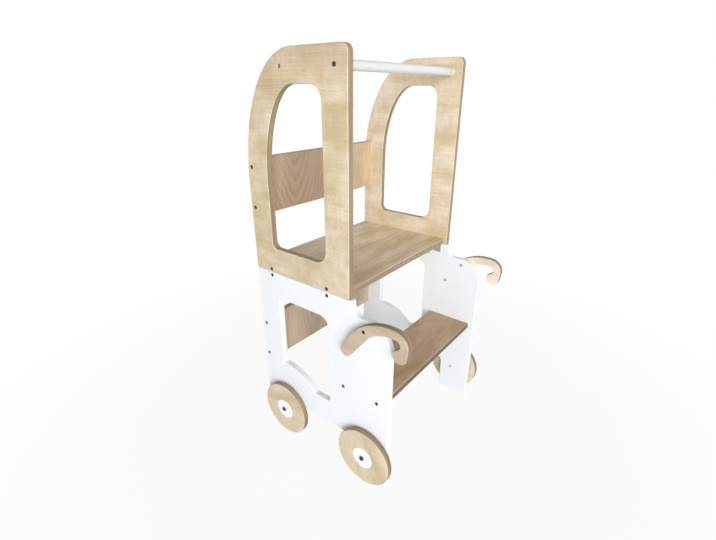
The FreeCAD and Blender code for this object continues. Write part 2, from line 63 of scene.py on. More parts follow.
class Wire:
    """One socket among a material's nodes, so that shader sums read as plain expressions."""

    def __init__(self, tree, socket=None):
        self.tree = tree
        self.socket = socket

    def node(self, kind, settings=None, sockets=None, output=0):
        """Adds a node, sets its settings, then fills or links its sockets."""
        made = self.tree.nodes.new(kind)
        for name, value in (settings or {}).items():
            if name == "stops":
                elements = made.color_ramp.elements
                while len(elements) < len(value):
                    elements.new(1.0)
                for element, (position, grey) in zip(elements, value):
                    element.position = position
                    element.color = (grey, grey, grey, 1.0)
            else:
                setattr(made, name, value)
        for name, value in (sockets or {}).items():
            if isinstance(value, Wire):
                self.tree.links.new(value.socket, made.inputs[name])
            else:
                made.inputs[name].default_value = value
        return Wire(self.tree, made.outputs[output] if made.outputs else None)

    def other(self, output):
        """Another output of the same node."""
        return Wire(self.tree, self.socket.node.outputs[output])

    def math(self, operation, *values):
        return self.node("ShaderNodeMath", {"operation": operation}, dict(enumerate(values)))

    def __add__(self, other):
        return self.math("ADD", self, other)

    __radd__ = __add__

    def __sub__(self, other):
        return self.math("SUBTRACT", self, other)

    def __rsub__(self, other):
        return self.math("SUBTRACT", other, self)

    def __mul__(self, other):
        return self.math("MULTIPLY", self, other)

    __rmul__ = __mul__

    def __truediv__(self, other):
        return self.math("DIVIDE", self, other)

    def __rtruediv__(self, other):
        return self.math("DIVIDE", other, self)

    def __pow__(self, other):
        return self.math("POWER", self, other)

    def __rpow__(self, other):
        return self.math("POWER", other, self)

    def __abs__(self):
        return self.math("ABSOLUTE", self)

    def fraction(self):
        return self.math("FRACT", self)

    def off_middle(self):
        """How far the value lies from the middle between two whole numbers."""
        return abs(self.fraction() - 0.5)

    def between(self, low, high):
        """0 below low, 1 above high, smooth in between; high may be the lower of the two."""
        first, second = (0.0, 1.0) if low < high else (1.0, 0.0)
        sockets = {0: self, 1: min(low, high), 2: max(low, high), 3: first, 4: second}
        return self.node("ShaderNodeMapRange", {"interpolation_type": "SMOOTHSTEP"}, sockets)

    def ramp(self, stops):
        return self.node("ShaderNodeValToRGB", {"stops": stops}, {0: self}, "Color")

    def mix(self, low, high):
        """The colour low where this value is 0 and high where it is 1."""
        return self.node("ShaderNodeMix", {"data_type": "RGBA"}, {0: self, 6: low, 7: high}, 2)

    def place(self):
        """Object coordinates, which every pattern lies on."""
        return self.node("ShaderNodeTexCoord", output="Object")

    def split(self):
        """A place taken apart; its outputs are X, Y and Z."""
        return self.node("ShaderNodeSeparateXYZ", None, {0: self})

    def noise(self, pattern, axes=AXES):
        """A pattern on this place; axes name the ways along, across and through it."""
        waves = dict(zip(axes, pattern.waves))
        scaled = {0: self, 1: [waves[axis] for axis in AXES]}
        sockets = {
            "Vector": self.node("ShaderNodeVectorMath", {"operation": "MULTIPLY"}, scaled),
            "Scale": 1.0,
            "Detail": pattern.detail,
            "Roughness": pattern.roughness,
        }
        value = self.node("ShaderNodeTexNoise", None, sockets, "Fac")
        return value.between(*pattern.edges) if pattern.edges else value


class Pattern(NamedTuple):
    """A noise, by its waves per metre along, across and through; edges are where it fades in."""

    waves: tuple
    detail: float = 2.0
    roughness: float = 0.5
    edges: tuple = ()


class Bump(NamedTuple):
    """How strongly a bump shows, and its depth in metres."""

    strength: float
    depth: float


class Finish(NamedTuple):
    """A plain finish, with each pattern's share of its tint, dirt, roughness and height."""

    patterns: dict
    shades: tuple
    tint: dict
    rough: dict
    height: dict
    roughness: float
    bump: Bump
    metallic: float = 0.0
    dirt: dict | None = None
    dirt_shade: float = 1.0


class PaintedShade(NamedTuple):
    """Painted shade: a browner colour at one end of a piece, from its start on an axis to where it
    is full.
    """

    axis: str
    start: float
    full: float
    share: float = 1.0


class Cut(NamedTuple):
    """How a piece lies in its sheet of plywood, and the figure that its face veneer shows."""

    axes: str  # along the grain, across it and through the sheet
    spacing: float  # metres from ring to ring
    strength: float  # tone of the rings
    bands: float  # tone of the broad bands along the grain
    heart: float = 0.0  # where the rings' middle lies across the grain
    apex: float = 0.0  # where the rings come to a point along the grain
    taper: float = 0.1  # how fast the rings open from there
    point: float = 2.0  # 2 rounds the point, less sharpens it
    wander: float = 0.03  # metres that the rings sway
    mottle: float = 0.2  # tone of the fine mottle across the grain
    lines: float = 0.42  # tone of the fine streaks along the grain
    turn: float = 0.0  # of the piece in its sheet, in radians
    edge: float = 1.0  # shade of the plies along the edges
    # painted shade: a browner end that stands in for the shade on the piece
    heartwood: PaintedShade | None = None


def grain(along, across, **extra):
    """A pattern that lies with the grain of a sheet."""
    through = 45.0
    return Pattern((along, across, through), **extra)


def even(waves, **extra):
    """A pattern with the same waves each way."""
    return Pattern((waves, waves, waves), **extra)


# Face veneer: its figure, and its colour's channels in clouds, late wood and pores.
GRAIN = {
    "sway": grain(3.0, 8.0),
    "ripple": grain(28.0, 60.0),
    "fade": grain(7.0, 16.0, edges=(0.3, 0.7)),
    "cloud": grain(9.0, 19.0, detail=4.0, roughness=0.6, edges=(0.3, 0.7)),
    "band": grain(1.2, 24.0, detail=3.0, roughness=0.6),
    "mottle": grain(95.0, 32.0, roughness=0.6),
    "streak": grain(7.0, 210.0, detail=3.0, roughness=0.65),
    "fibre": grain(22.0, 900.0, roughness=0.6),
    "pore": grain(75.0, 1100.0, detail=1.0, edges=(0.68, 0.8)),
}
CREAM = (1.13, 1.14, 1.22)
TAN = (0.84, 0.8, 0.66)
LATE_WOOD = (0.58, 0.5, 0.4)
PORES = (0.34, 0.27, 0.2)
RING_STOPS = ((0.0, 0.3), (0.12, 0.0), (0.55, 0.25), (0.85, 1.0), (1.0, 0.3))
RING_RIPPLE = 0.9
RING_FADE = 0.7
FIBRE_TONE = 0.24
PORE_TONE = 0.3
TONE_LIFT = 0.03
# share of the grain's sway that the edge of the painted shade follows
PAINTED_SHADE_SWAY = 0.1

# Edge: shades of its colour, and where its parts begin, counted in plies.
SPECKLE = even(700.0)
LONG_PLY_FIGURE = {"streak": 0.6, "fibre": 0.4}
LONG_PLY_SHADES = (1.75, 1.1)
END_PLY_SHADES = (1.05, 0.6)
STAIN_WAVES = 6.0
STAIN_WAVES_PER_PLY = 0.45
STAIN_EDGES = (0.4, 0.62)
STAIN_TONE = 0.5
STAIN_SHADE = 0.42
GLUE_EDGES = (0.4, 0.49)
GLUE_TONE = 0.55
GLUE_SHADE = 0.4
CROSS_PLY_EDGES = (0.26, 0.24)
FACE_PLY_EDGES = (0.75, 0.95)

# Varnish over faces and edges.
WOOD_HEIGHTS = {"fibre": 0.5, "streak": 0.3, "pore": -0.6, "glue": -0.8}
WOOD_ROUGH = {"fibre": 0.14, "pore": 0.15, "edge": 0.12}
WOOD_BUMP = Bump(0.12, 0.0006)
VARNISH_GLOSS = 0.35

# Satin paint: a faint drift of shade and the fine peel that a roller leaves.
PAINT = Finish(
    patterns={
        "drift": even(9.0, detail=3.0),
        "peel": even(420.0, roughness=0.6),
        "speck": even(1300.0, detail=1.0),
    },
    shades=(1.012, 0.972),
    tint={"drift": 0.7, "speck": 0.3},
    rough={"drift": 0.08, "peel": 0.1},
    height={"peel": 0.8, "speck": 0.2},
    roughness=0.42,
    bump=Bump(0.1, 0.0004),
)
BAR_PAINT = PAINT._replace(patterns={**PAINT.patterns, "drift": even(14.0, detail=3.0)})

# Blackened steel with a mottled oxide and rubbed lighter patches.
BLACKENED = Finish(
    patterns={
        "oxide": even(600.0, detail=3.0, roughness=0.65),
        "rub": even(240.0, edges=(0.52, 0.72)),
    },
    shades=(0.6, 1.9),
    tint={"oxide": 0.6, "rub": 0.4},
    rough={"oxide": 0.25, "rub": -0.08},
    height={"oxide": 1.0},
    roughness=0.425,
    bump=Bump(0.12, 0.0002),
    metallic=0.75,
)

# Bright zinc plate on rolled steel: fine rolling streaks under a clouded plating.
ZINC = Finish(
    patterns={
        "rolling": Pattern((90.0, 1500.0, 1500.0), detail=3.0, roughness=0.6),
        "cloud": even(160.0, detail=3.0),
        "grime": even(420.0, edges=(0.58, 0.78)),
    },
    shades=(1.1, 0.74),
    tint={"rolling": 0.5, "cloud": 0.5},
    rough={"rolling": 0.2, "cloud": 0.16, "grime": 0.14},
    height={"rolling": 1.0},
    roughness=0.39,
    bump=Bump(0.1, 0.0002),
    metallic=1.0,
    dirt={"grime": 0.35},
    dirt_shade=0.42,
)

# Natural nylon, slightly clouded and waxy.
NYLON = Finish(
    patterns={"cloud": even(180.0, detail=3.0), "grain": even(1600.0, detail=1.0)},
    shades=(1.03, 0.92),
    tint={"cloud": 1.0},
    rough={"cloud": 0.15, "grain": 0.1},
    height={"grain": 1.0},
    roughness=0.485,
    bump=Bump(0.08, 0.0002),
)

# Small screws: parts of their shape, and the turn in radians from one cross to the next.
RECESS_CELLS = 3
HEAD_SEGMENTS = 24
TIP_WIDTH = 0.15
SCREW_TURN = 2.4

# Studio: lengths in metres, but the picture's width in pixels and the film's in millimetres.
FLOOR_DROP = 0.0004
FLOOR_MOTTLE = even(6.0, detail=3.0)
FLOOR_SHADES = (1.01, 0.99)
FLOOR_SHADOW = 0.09
SHADOW_REACH = (0.35, 1.5)
LAMP_AIM = Vector((0.0, 0.0, 0.45))
PHOTO_WIDTH = 716
FILM_WIDTH = 36.0


def shade(colour, level=1.0):
    """A colour made darker or lighter, as RGBA."""
    return tuple(channel * level for channel in colour[:3]) + (1.0,)


def shades(colour, levels):
    return [shade(colour, level) for level in levels]


def tinted(colour, levels):
    """A colour with each of its channels scaled, as RGBA."""
    return tuple(channel * level for channel, level in zip(colour, levels)) + (1.0,)


def weighed(parts, shares):
    """The sum of the parts that have a share, each times its share."""
    return sum(parts[name] * share for name, share in shares.items())


def new_material(name):
    """An empty node material and a first wire into it."""
    material = bpy.data.materials.new(name)
    material.use_nodes = True
    material.node_tree.nodes.clear()
    return material, Wire(material.node_tree)


def close(start, shader):
    start.node("ShaderNodeOutputMaterial", None, {"Surface": shader})


def close_bumped(start, sockets, height, bump):
    """Ends a material in one shader, whose surface rises and falls by the height."""
    relief = {"Strength": bump.strength, "Distance": bump.depth, "Height": height}
    normal = start.node("ShaderNodeBump", None, relief)
    close(start, start.node("ShaderNodeBsdfPrincipled", None, {**sockets, "Normal": normal}))


def finish_node(name, material):
    """Gives a node of the frame its material."""
    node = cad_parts.get(name)
    if node is None:
        raise RuntimeError(f"no piece is named {name}")
    node.data.materials.clear()
    node.data.materials.append(material)


def sheet_place(start, cut, middle):
    """The place of a sheet's grain, turned about the middle of a piece that was cut askew."""
    place = start.place()
    if not cut.turn:
        return place
    through = AXES.index(cut.axes[2])
    centre, turn = middle.copy(), Vector()
    centre[through] = 0.0
    turn[through] = cut.turn
    sockets = {"Vector": place, "Location": centre, "Rotation": turn}
    return start.node("ShaderNodeMapping", {"vector_type": "TEXTURE"}, sockets)


def veneer(place, cut, face, wood):
    """A face veneer's colour, and the parts of its figure."""
    along, across = cut.axes[:2]
    parts = {name: place.noise(pattern, cut.axes) for name, pattern in GRAIN.items()}
    split = place.split()
    sway = parts["sway"] - NOISE_MEAN
    side = abs(split.other(across) - cut.heart + sway * cut.wander)
    run = abs(split.other(along) - cut.apex) * cut.taper
    reach = (side ** cut.point + run ** cut.point) ** (1 / cut.point)
    rings = reach / cut.spacing + (parts["ripple"] - NOISE_MEAN) * RING_RIPPLE
    ring = rings.fraction().ramp(RING_STOPS) * (parts["fade"] * RING_FADE + (1 - RING_FADE))
    early = parts["cloud"].mix(tinted(face, CREAM), tinted(face, TAN))
    late = tinted(face, LATE_WOOD)
    # Painted shade: one end of the piece is browned, standing in for the shade that falls there.
    if cut.heartwood:
        axis, start, full, most = cut.heartwood
        share = (split.other(axis) + sway * PAINTED_SHADE_SWAY).between(start, full) * most
        early = share.mix(early, shade(wood.heartwood_colour))
        late = share.mix(late, tinted(wood.heartwood_colour, LATE_WOOD))
    figure = {"band": cut.bands, "mottle": cut.mottle, "streak": cut.lines}
    mean = sum(figure.values()) * NOISE_MEAN + TONE_LIFT
    tone = ring * cut.strength + weighed(parts, {**figure, "fibre": FIBRE_TONE}) - mean
    colour = (parts["pore"] * PORE_TONE).mix(tone.mix(early, late), tinted(face, PORES))
    return colour, parts


def plies(place, cut, faces, parts, wood):
    """A sheet's edge, between its two faces: its colour, its glue lines and where it shows."""
    first, last = faces
    per_metre = wood.plies / (last - first)
    ply = (place.split().other(cut.axes[2]) - first) * per_metre
    pair = ply / 2
    cross_ply = pair.off_middle().between(*CROSS_PLY_EDGES)
    glue = ply.off_middle().between(*GLUE_EDGES)
    tone = shade(wood.edge_colour, cut.edge)
    long_ply = weighed(parts, LONG_PLY_FIGURE).mix(*shades(tone, LONG_PLY_SHADES))
    end_ply = place.noise(SPECKLE).mix(*shades(tone, END_PLY_SHADES))
    waves = (STAIN_WAVES, STAIN_WAVES, per_metre * STAIN_WAVES_PER_PLY)
    stain = place.noise(Pattern(waves, detail=1.0, edges=STAIN_EDGES), cut.axes)
    colour = cross_ply.mix(long_ply, end_ply)
    colour = (stain * STAIN_TONE).mix(colour, shade(tone, STAIN_SHADE))
    colour = (glue * GLUE_TONE).mix(colour, shade(tone, GLUE_SHADE))
    hidden, shown = FACE_PLY_EDGES
    shows = ply.between(hidden, shown) * ply.between(wood.plies - hidden, wood.plies - shown)
    return colour, glue, shows


def plywood(node, cut, face, wood):
    """Varnished plywood: rings, fibres and pores on its faces, layered plies along its edges."""
    material, start = new_material("Birch " + node.replace("_", " "))
    low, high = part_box(node)
    through = AXES.index(cut.axes[2])
    place = sheet_place(start, cut, (low + high) / 2)
    face_colour, parts = veneer(place, cut, face, wood)
    faces = (low[through], high[through])
    edge_colour, glue, shows = plies(start.place(), cut, faces, parts, wood)
    parts.update(glue=glue * shows, edge=shows)
    sockets = {
        "Base Color": shows.mix(face_colour, edge_colour),
        "Roughness": weighed(parts, WOOD_ROUGH) + wood.varnish_roughness,
        "Specular IOR Level": VARNISH_GLOSS,
    }
    close_bumped(start, sockets, weighed(parts, WOOD_HEIGHTS), WOOD_BUMP)
    return material


def coated(name, colour, finish):
    """A painted, plated or moulded surface, with its patterns mixed by the finish's shares."""
    material, start = new_material(name)
    place = start.place()
    parts = {part: place.noise(pattern) for part, pattern in finish.patterns.items()}
    tint = weighed(parts, finish.tint).mix(*shades(colour, finish.shades))
    if finish.dirt:
        tint = weighed(parts, finish.dirt).mix(tint, shade(colour, finish.dirt_shade))
    least_rough = finish.roughness - sum(finish.rough.values()) * NOISE_MEAN
    sockets = {
        "Base Color": tint,
        "Roughness": weighed(parts, finish.rough) + least_rough,
        "Metallic": finish.metallic,
    }
    close_bumped(start, sockets, weighed(parts, finish.height), finish.bump)
    return material


def painted(name, colour, coat, finish=PAINT):
    return coated(name, colour, finish._replace(roughness=coat.roughness))


def open_edges(shape):
    return [edge for edge in shape.edges if edge.is_boundary]


def drawn_out(shape, scale, drop):
    """Extrudes the open edge loop, scales it about the axis and moves it down."""
    made = bmesh.ops.extrude_edge_only(shape, edges=open_edges(shape))
    verts = [part for part in made["geom"] if isinstance(part, bmesh.types.BMVert)]
    bmesh.ops.scale(shape, verts=verts, vec=(scale, scale, 1.0))
    bmesh.ops.translate(shape, verts=verts, vec=(0.0, 0.0, -drop))


def cross_screw(metal, head, length):
    """One countersunk screw with a cross recess; its head looks up from the origin."""
    shape = bmesh.new()
    half = metal.recess_size / 2
    cells = {"x_segments": RECESS_CELLS, "y_segments": RECESS_CELLS}
    bmesh.ops.create_grid(shape, **cells, size=half)
    arm = half / RECESS_CELLS
    corners = []
    for cell in shape.faces:
        middle = cell.calc_center_median()
        if abs(middle.x) > arm and abs(middle.y) > arm:
            corners.append(cell)
    bmesh.ops.delete(shape, geom=corners, context="FACES")
    bmesh.ops.translate(shape, verts=shape.verts, vec=(0.0, 0.0, -metal.recess_depth))
    drawn_out(shape, metal.recess_flare, -metal.recess_depth)
    lip = open_edges(shape)
    rim = bmesh.ops.create_circle(shape, segments=HEAD_SEGMENTS, radius=head / 2)["verts"]
    around = {edge for vert in rim for edge in vert.link_edges}
    bmesh.ops.bridge_loops(shape, edges=lip + list(around))
    drawn_out(shape, metal.shank_diameter / head, metal.cone_depth)
    drawn_out(shape, 1.0, length - metal.cone_depth - metal.tip_length)
    drawn_out(shape, TIP_WIDTH, metal.tip_length)
    bmesh.ops.holes_fill(shape, edges=open_edges(shape), sides=0)
    bmesh.ops.recalc_face_normals(shape, faces=shape.faces)
    mesh = bpy.data.meshes.new("cross screw")
    shape.to_mesh(mesh)
    shape.free()
    return mesh


def colour_property(name, description, srgb):
    """A colour property; its default is written as the eye sees it, from 0 to 255."""
    linear = [((v / 255 + 0.055) / 1.055) ** 2.4 for v in srgb]
    return bpy.props.FloatVectorProperty(
        name=name, description=description, default=linear, min=0.0, max=1.0, subtype="COLOR"
    )


def length_property(name, description, metres):
    return bpy.props.FloatProperty(
        name=name, description=description, default=metres, min=0.0, unit="LENGTH"
    )


def roughness_property(name, description, roughness):
    return bpy.props.FloatProperty(
        name=name, description=description, default=roughness, min=0.1, max=0.9, subtype="FACTOR"
    )


def lamp_power(name, watts):
    description = "Power of this soft lamp"
    return bpy.props.FloatProperty(
        name=name, description=description, default=watts, min=0.0, unit="POWER"
    )


def place_property(name, description, place):
    return bpy.props.FloatVectorProperty(
        name=name, description=description, default=place, subtype="TRANSLATION", unit="LENGTH"
    )


def lamp_place(name, place):
    return place_property(name, "Where the middle of this soft lamp hangs", place)


class TowerWood(bpy.types.PropertyGroup):
    """Colours of the varnished plywood."""

    # The two upper panels are one birch, painted as a shaded copy on the left and a lit, paler
    # copy on the right.
    left_panel_shaded_colour: colour_property(
        "Left panel", "Pale birch of the left upper panel", (222, 207, 177)
    )
    right_panel_lit_colour: colour_property(
        "Right panel", "Paler birch of the right upper panel", (234, 220, 194)
    )
    board_colour: colour_property(
        "Boards", "Birch of the platform and the table board", (236, 219, 188)
    )
    step_colour: colour_property("Step", "Browner birch of the step", (194, 167, 136))
    rail_colour: colour_property("Rail", "Pale sapwood of the upper rail", (224, 203, 174))
    back_colour: colour_property(
        "Back board", "Pale sapwood of the lower back board", (205, 190, 166)
    )
    # Painted shade: the browner colour that one end of some pieces takes, standing in for the
    # shade there.
    heartwood_colour: colour_property(
        "PaintedShade", "Brown heartwood at one end of panels, rails and platform", (186, 163, 137)
    )
    wheel_colour: colour_property("Wheels", "Birch of the wheels", (221, 205, 177))
    # The left handle is set darker and browner than the right one.
    left_handle_colour: colour_property(
        "Left handle", "Browner birch of the left handle", (199, 184, 159)
    )
    right_handle_colour: colour_property(
        "Right handle", "Birch of the right handle", (240, 230, 210)
    )
    edge_colour: colour_property(
        "Edge plies", "End grain of the cross plies on every edge", (150, 132, 107)
    )
    plies: bpy.props.IntProperty(
        name="Plies", description="Layers in the sheet", default=11, min=3, max=21
    )
    varnish_roughness: roughness_property(
        "Varnish roughness", "Roughness of the varnish between the fibres", 0.36
    )


class TowerPaint(bpy.types.PropertyGroup):
    """Paint on the lower panels, the bar and the wheel hubs."""

    panel_colour: colour_property(
        "Lower panels", "White of the lower side panels", (243, 247, 252)
    )
    # Painted shade: the bar's white is set darker than the panels' same paint, so that its lit
    # round top does not render too bright.
    bar_shaded_colour: colour_property("Bar", "White of the round front bar", (222, 225, 222))
    hub_colour: colour_property("Hubs", "White of the discs in the wheels", (249, 251, 249))
    roughness: roughness_property(
        "Roughness", "Roughness of the satin paint", PAINT.roughness
    )


class TowerMetal(bpy.types.PropertyGroup):
    """Screws, hinges, slide bolt and bushes."""

    screw_colour: colour_property(
        "Screws", "Blackened steel of the flush screws and bolts", (78, 78, 82)
    )
    zinc_colour: colour_property(
        "Zinc", "Zinc plate of the hinges and the slide bolt", (206, 208, 211)
    )
    bush_colour: colour_property("Bushes", "Natural nylon of the wheel bushes", (226, 223, 212))
    recess_size: length_property("Recess", "Width of a small screw's cross at its floor", 0.0022)
    recess_depth: length_property("Recess depth", "Depth of a small screw's cross", 0.0011)
    recess_flare: bpy.props.FloatProperty(
        name="Recess flare",
        description="How much wider the cross is at the head's face",
        default=1.3,
        min=1.0,
    )
    shank_diameter: length_property("Shank", "Diameter of a small screw's shank", 0.0026)
    cone_depth: length_property("Countersink", "Depth of a small screw's conical head", 0.0012)
    tip_length: length_property("Tip", "Length of a small screw's pointed tip", 0.003)
    leaf_inset: length_property("Leaf inset", "Outer screws from the ends of a hinge leaf", 0.009)


class TowerStudio(bpy.types.PropertyGroup):
    """Floor, light and camera."""

    floor_size: length_property("Floor", "Width of the square floor", 12.0)
    floor_colour: colour_property(
        "Floor colour", "Pale floor that takes the shadow", (232, 232, 232)
    )
    sky_level: bpy.props.FloatProperty(
        name="Sky",
        description="Strength of the even light from all sides",
        default=0.25,
        min=0.0,
    )
    lamp_size: length_property("Lamp size", "Width of each square soft lamp", 2.8)
    key_power: lamp_power("Key lamp", 176.0)
    key_place: lamp_place("Key lamp place", (-2.829, -3.372, 1.386))
    side_power: lamp_power("Side lamp", 16.0)
    side_place: lamp_place("Side lamp place", (-2.6, -1.0, 1.5))
    rear_power: lamp_power("Rear lamp", 30.0)
    rear_place: lamp_place("Rear lamp place", (0.3, 3.1, 1.3))
    right_power: lamp_power("Right lamp", 30.0)
    right_place: lamp_place("Right lamp place", (3.1, -0.7, 1.3))
    camera_place: place_property(
        "Camera place", "Where the camera stands", (-0.773182, -0.529301, 0.833721)
    )
    camera_turn: bpy.props.FloatVectorProperty(
        name="Camera turn",
        description="The camera's heading, its tilt down and its roll",
        default=[math.radians(degrees) for degrees in (-51.842, 23.579, 0.244)],
        subtype="EULER",
    )
    focal_pixels: bpy.props.FloatProperty(
        name="Focal length",
        description=f"Focal length in pixels of a picture {PHOTO_WIDTH} wide",
        default=416.412,
        min=50.0,
    )


class TowerOperator:
    """What all the operators share."""

    bl_options = {"REGISTER", "UNDO"}


class TOWER_OT_upper_sides(TowerOperator, bpy.types.Operator):
    """Varnishes the two upper side panels"""

    bl_idname = "tower.upper_sides"
    bl_label = "Upper sides"

    def execute(self, context):
        wood = context.scene.tower_wood
        sheet = Cut(
            "YZX", spacing=0.0034, strength=0.3, bands=0.4, heart=0.62, taper=0.3, wander=0.06,
            mottle=0.6, lines=0.75, edge=1.14
        )
        # Painted shade: the top of each upper panel is browned, strongly on the left panel and
        # faintly on the right.
        top = PaintedShade("Z", start=0.8, full=0.93)
        left = sheet._replace(apex=0.3, heartwood=top._replace(share=0.6))
        right = sheet._replace(apex=-0.25, heartwood=top._replace(share=0.1))
        for node, cut, face in (
            ("upper_side_left", left, wood.left_panel_shaded_colour),
            ("upper_side_right", right, wood.right_panel_lit_colour),
        ):
            finish_node(node, plywood(node, cut, face, wood))
        return {"FINISHED"}


class TOWER_OT_boards(TowerOperator, bpy.types.Operator):
    """Varnishes the platform, the table board and the step"""

    bl_idname = "tower.boards"
    bl_label = "Boards"

    def execute(self, context):
        wood = context.scene.tower_wood
        sheet = Cut("XYZ", spacing=0.016, strength=0.4, bands=1.1, wander=0.05, lines=0.25)
        # Painted shadow: the platform's left end is browned where the left upper panel shades it.
        left_end = PaintedShade("X", start=0.05, full=-0.16, share=0.55)
        platform = sheet._replace(heart=0.16, apex=-0.3, edge=1.25, heartwood=left_end)
        table = sheet._replace(heart=0.02, apex=0.25, edge=1.2)
        step = sheet._replace(heart=-0.05, apex=-0.35, edge=0.5)
        for node, cut, face in (
            ("standing_platform", platform, wood.board_colour),
            ("table_board", table, wood.board_colour),
            ("step_board", step, wood.step_colour),
        ):
            finish_node(node, plywood(node, cut, face, wood))
        return {"FINISHED"}


class TOWER_OT_rails(TowerOperator, bpy.types.Operator):
    """Varnishes the upper rail and the lower back board, whose grain stands upright"""

    bl_idname = "tower.rails"
    bl_label = "Rails"

    def execute(self, context):
        wood = context.scene.tower_wood
        sheet = Cut("ZXY", spacing=0.0105, strength=0.6, bands=0.4, point=1.4)
        # Painted shadow: the left ends of the rail and the back board are browned where the left
        # panels shade them.
        brown = PaintedShade("X", start=0.14, full=0.03)
        upper = sheet._replace(heart=-0.094, apex=0.84, taper=0.3, heartwood=brown)
        faint = PaintedShade("X", start=0.17, full=0.0, share=0.6)
        lower = sheet._replace(heart=-0.06, apex=0.6, taper=0.12, strength=0.35, heartwood=faint)
        for node, cut, face in (
            ("upper_back_rail", upper, wood.rail_colour),
            ("lower_back_board", lower, wood.back_colour),
        ):
            finish_node(node, plywood(node, cut, face, wood))
        return {"FINISHED"}


class TOWER_OT_front_bar(TowerOperator, bpy.types.Operator):
    """Paints the round front bar"""

    bl_idname = "tower.front_bar"
    bl_label = "Front bar"

    def execute(self, context):
        coat = context.scene.tower_paint
        # the bar's darker white is painted shade on the panels' paint
        finish_node("front_bar", painted("White bar paint", coat.bar_shaded_colour, coat, BAR_PAINT))
        return {"FINISHED"}


class TOWER_OT_lower_sides(TowerOperator, bpy.types.Operator):
    """Paints the two lower side panels"""

    bl_idname = "tower.lower_sides"
    bl_label = "Lower sides"

    def execute(self, context):
        coat = context.scene.tower_paint
        material = painted("White panel paint", coat.panel_colour, coat)
        for side in SIDES:
            finish_node(f"lower_side_{side}", material)
        return {"FINISHED"}


class TOWER_OT_handles(TowerOperator, bpy.types.Operator):
    """Varnishes the two cane-shaped handles"""

    bl_idname = "tower.handles"
    bl_label = "Handles"

    def execute(self, context):
        wood = context.scene.tower_wood
        cut = Cut("YZX", spacing=0.006, strength=0.16, bands=0.2, heart=0.3, taper=0.15)
        for node, face in (
            ("handle_left", wood.left_handle_colour),
            ("handle_right", wood.right_handle_colour),
        ):
            finish_node(node, plywood(node, cut, face, wood))
        return {"FINISHED"}


class TOWER_OT_wheels(TowerOperator, bpy.types.Operator):
    """Varnishes the four wheels, paints their hub discs and gives the bushes their nylon"""

    bl_idname = "tower.wheels"
    bl_label = "Wheels"

    def execute(self, context):
        wood = context.scene.tower_wood
        coat = context.scene.tower_paint
        hub = painted("White hub paint", coat.hub_colour, coat)
        bush = coated("Bush nylon", context.scene.tower_metal.bush_colour, NYLON)
        sheet = Cut(
            "YZX", spacing=0.0065, strength=0.18, bands=0.2, heart=-0.05, taper=0.16, wander=0.04
        )
        turns = {"front_left": 65.0, "rear_left": -20.0, "front_right": 110.0, "rear_right": 35.0}
        for corner, degrees in turns.items():
            node = f"wheel_{corner}"
            cut = sheet._replace(turn=math.radians(degrees))
            finish_node(node, plywood(node, cut, wood.wheel_colour, wood))
            finish_node(f"hub_disc_{corner}", hub)
            finish_node(f"wheel_bush_{corner}", bush)
        return {"FINISHED"}


class TOWER_OT_fixings(TowerOperator, bpy.types.Operator):
    """Blackens the flush screws and bolts, and plates the sleeve nuts, inner screws and washers"""

    bl_idname = "tower.fixings"
    bl_label = "Flush fixings"

    def execute(self, context):
        metal = context.scene.tower_metal
        black = coated("Blackened steel", metal.screw_colour, BLACKENED)
        for node in (
            "bar_screws",
            "platform_screws",
            "upper_rail_screws",
            "table_board_screws",
            "back_board_screws",
            "step_screws",
            "handle_bolts",
            "axle_bolts",
        ):
            finish_node(node, black)
        plate = coated("Zinc fixing plate", metal.zinc_colour, ZINC)
        for node in ("handle_nuts", "handle_screws", "axle_nuts", "axle_washers"):
            finish_node(node, plate)
        return {"FINISHED"}


class TOWER_OT_hinges(TowerOperator, bpy.types.Operator):
    """Plates the two rear hinges"""

    bl_idname = "tower.hinges"
    bl_label = "Hinges"

    def execute(self, context):
        material = coated("Zinc hinge plate", context.scene.tower_metal.zinc_colour, ZINC)
        for side in SIDES:
            for part in ("leaf_upper", "leaf_lower", "pin"):
                finish_node(f"hinge_{part}_{side}", material)
        return {"FINISHED"}


class TOWER_OT_slide_bolt(TowerOperator, bpy.types.Operator):
    """Plates the slide bolt, its guides and its strike"""

    bl_idname = "tower.slide_bolt"
    bl_label = "Slide bolt"

    def execute(self, context):
        material = coated("Zinc bolt plate", context.scene.tower_metal.zinc_colour, ZINC)
        for node in ("bolt_body", "bolt_rod", "strike_plate"):
            finish_node(node, material)
        return {"FINISHED"}


